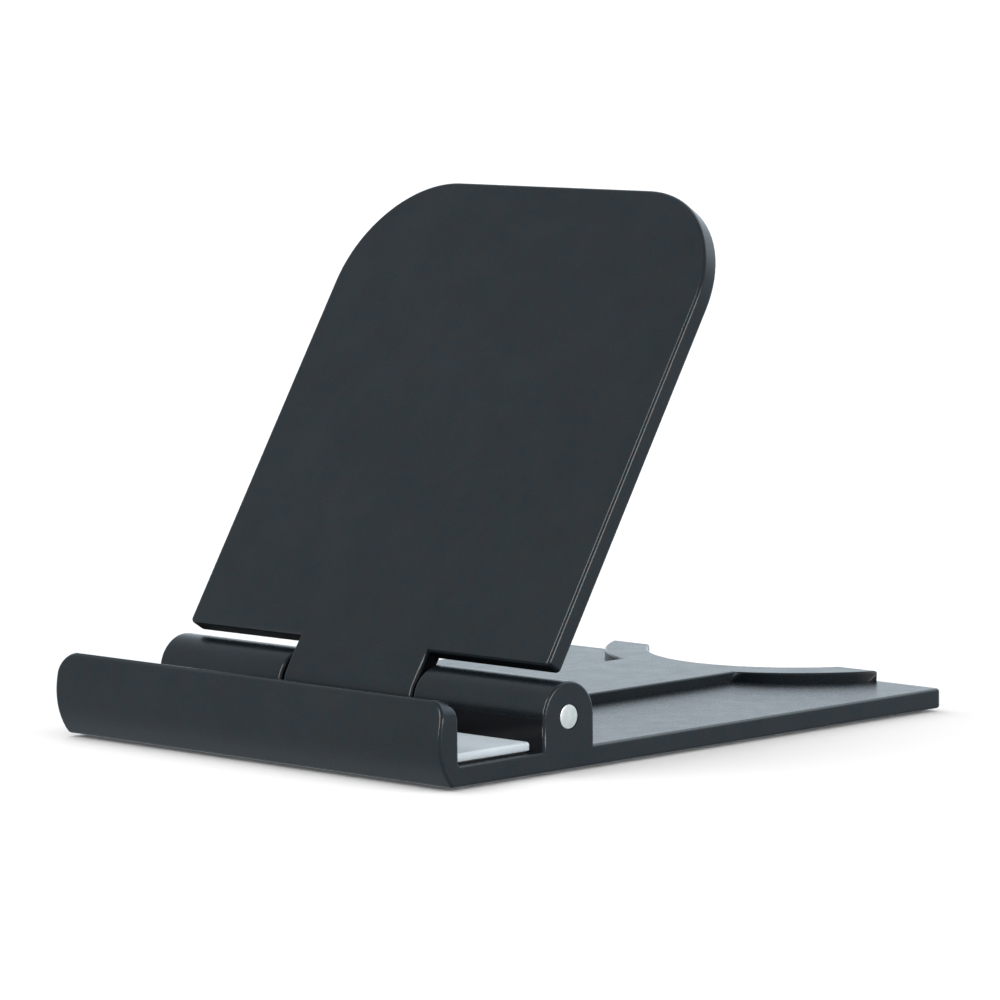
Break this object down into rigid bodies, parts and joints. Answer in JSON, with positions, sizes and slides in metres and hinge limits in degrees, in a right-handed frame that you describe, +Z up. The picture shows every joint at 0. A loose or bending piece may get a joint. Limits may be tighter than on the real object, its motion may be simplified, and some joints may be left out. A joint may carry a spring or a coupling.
{
  "type": "phone stand",
  "caption": "Folding desk stand for a phone: base with a front lip and padded channel, and a back plate on a friction hinge.",
  "frame": {"origin": "middle of the footprint, on the surface that the rubber feet stand on", "axes": "+X along the hinge to the right as a user sees it, +Y from the front lip to the rear edge, +Z up"},
  "size_m": [0.078, 0.1028, 0.0772],
  "materials": {
    "moulded_plastic": "fine matt moulded texture, charcoal black",
    "pin_steel": "turned and lightly polished ends",
    "bush_plastic": "black acetal",
    "pad_silicone": "soft matt, pale grey",
    "adhesive_film": "dark double-sided tape",
    "foot_rubber": "matt black rubber"
  },
  "bodies": {
    "base": {"base": "moulded_plastic", "hinge_pin": "pin_steel", "channel_pad": "pad_silicone", "pad_film": "adhesive_film", "foot_front_left": "foot_rubber", "foot_front_right": "foot_rubber", "foot_rear_left": "foot_rubber", "foot_rear_right": "foot_rubber"},
    "plate": {"back_plate": "moulded_plastic", "friction_bush_left": "bush_plastic", "friction_bush_right": "bush_plastic"}
  },
  "joints": [
    {"name": "plate_hinge", "type": "hinge", "parent": "base", "child": "plate", "pos_m": [0, -0.02655, 0.00775], "axis": [1, 0, 0], "range_deg": [-58, 24]}
  ]
}
